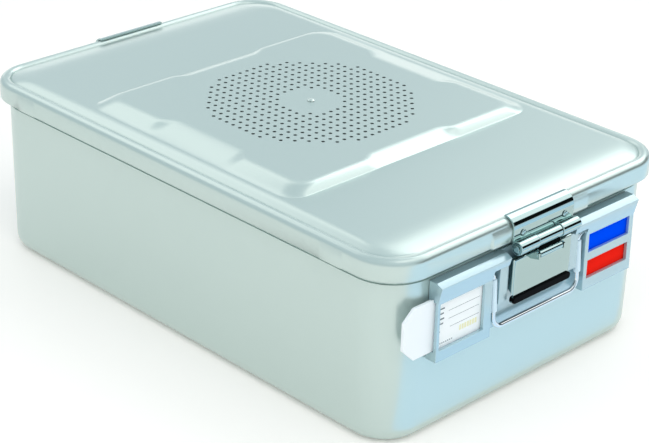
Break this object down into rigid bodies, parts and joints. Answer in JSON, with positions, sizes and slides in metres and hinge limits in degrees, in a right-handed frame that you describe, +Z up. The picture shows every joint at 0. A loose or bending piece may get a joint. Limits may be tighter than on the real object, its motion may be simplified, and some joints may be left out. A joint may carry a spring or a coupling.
{
  "type": "sterilization container",
  "caption": "Reusable aluminium container for steam sterilizing surgical instrument sets, with a perforated lid, toggle latches, bail handles and label pockets.",
  "frame": {"origin": "centre of the underside that the container stands on, midway between its sides and its ends", "axes": "+Z up, +Y along the long side away from the labelled end, +X across the container"},
  "size_m": [0.306, 0.4906, 0.1599],
  "materials": {
    "anodized_aluminium": "satin anodized",
    "stainless_steel": "brushed",
    "bright_wire": "polished",
    "grey_plastic": "matte",
    "white_plastic": "matte",
    "label_card": "matte card",
    "blue_plastic": "gloss",
    "red_plastic": "gloss",
    "black_rubber": "matte",
    "silicone_seal": "matte",
    "filter_paper": "matte paper"
  },
  "bodies": {
    "base": {"base_shell": "anodized_aluminium", "front_panel": "grey_plastic", "front_keeper": "stainless_steel", "front_keeper_rivet_left": "stainless_steel", "front_keeper_rivet_right": "stainless_steel", "rear_panel": "grey_plastic", "rear_keeper": "stainless_steel", "rear_keeper_rivet_left": "stainless_steel", "rear_keeper_rivet_right": "stainless_steel"},
    "lid": {"lid_shell": "anodized_aluminium", "lid_gasket": "silicone_seal", "filter_sheet": "filter_paper", "filter_stud": "stainless_steel", "front_lid_bracket": "stainless_steel", "front_bracket_rivet_left": "stainless_steel", "front_bracket_rivet_right": "stainless_steel", "front_hinge_pin": "stainless_steel", "rear_lid_bracket": "stainless_steel", "rear_bracket_rivet_left": "stainless_steel", "rear_bracket_rivet_right": "stainless_steel", "rear_hinge_pin": "stainless_steel"},
    "retainer": {"filter_retainer": "anodized_aluminium", "filter_knob": "grey_plastic"},
    "front_link": {"front_latch_link": "stainless_steel", "front_link_pin": "stainless_steel"},
    "front_lever": {"front_latch_lever": "stainless_steel", "front_lever_grip": "black_rubber"},
    "rear_link": {"rear_latch_link": "stainless_steel", "rear_link_pin": "stainless_steel"},
    "rear_lever": {"rear_latch_lever": "stainless_steel", "rear_lever_grip": "black_rubber"},
    "front_handle": {"front_bail": "bright_wire", "front_sleeve_left": "grey_plastic", "front_sleeve_right": "grey_plastic"},
    "rear_handle": {"rear_bail": "bright_wire", "rear_sleeve_left": "grey_plastic", "rear_sleeve_right": "grey_plastic"},
    "label": {"label_carrier": "white_plastic", "label_card": "label_card"},
    "blue_tag": {"blue_tag": "blue_plastic"},
    "red_tag": {"red_tag": "red_plastic"}
  },
  "joints": [
    {"name": "lid_lift", "type": "slide", "parent": "base", "child": "lid", "axis": [0, 0, 1], "range_m": [0, 0.12]},
    {"name": "retainer_drop", "type": "slide", "parent": "lid", "child": "retainer", "axis": [0, 0, -1], "range_m": [0, 0.02]},
    {"name": "front_link_hinge", "type": "hinge", "parent": "lid", "child": "front_link", "pos_m": [0, -0.2395, 0.1315], "axis": [-1, 0, 0], "range_deg": [0, 80]},
    {"name": "front_lever_hinge", "type": "hinge", "parent": "front_link", "child": "front_lever", "pos_m": [0, -0.2425, 0.1215], "axis": [-1, 0, 0], "range_deg": [0, 120]},
    {"name": "rear_link_hinge", "type": "hinge", "parent": "lid", "child": "rear_link", "pos_m": [0, 0.2395, 0.1315], "axis": [1, 0, 0], "range_deg": [0, 80]},
    {"name": "rear_lever_hinge", "type": "hinge", "parent": "rear_link", "child": "rear_lever", "pos_m": [0, 0.2425, 0.1215], "axis": [1, 0, 0], "range_deg": [0, 120]},
    {"name": "front_handle_hinge", "type": "hinge", "parent": "base", "child": "front_handle", "pos_m": [0, -0.2313, 0.114], "axis": [-1, 0, 0], "range_deg": [0, 90]},
    {"name": "rear_handle_hinge", "type": "hinge", "parent": "base", "child": "rear_handle", "pos_m": [0, 0.2313, 0.114], "axis": [1, 0, 0], "range_deg": [0, 90]},
    {"name": "label_slide", "type": "slide", "parent": "base", "child": "label", "axis": [-1, 0, 0], "range_m": [0, 0.05]},
    {"name": "blue_tag_slide", "type": "slide", "parent": "base", "child": "blue_tag", "axis": [1, 0, 0], "range_m": [0, 0.052]},
    {"name": "red_tag_slide", "type": "slide", "parent": "base", "child": "red_tag", "axis": [1, 0, 0], "range_m": [0, 0.052]}
  ]
}
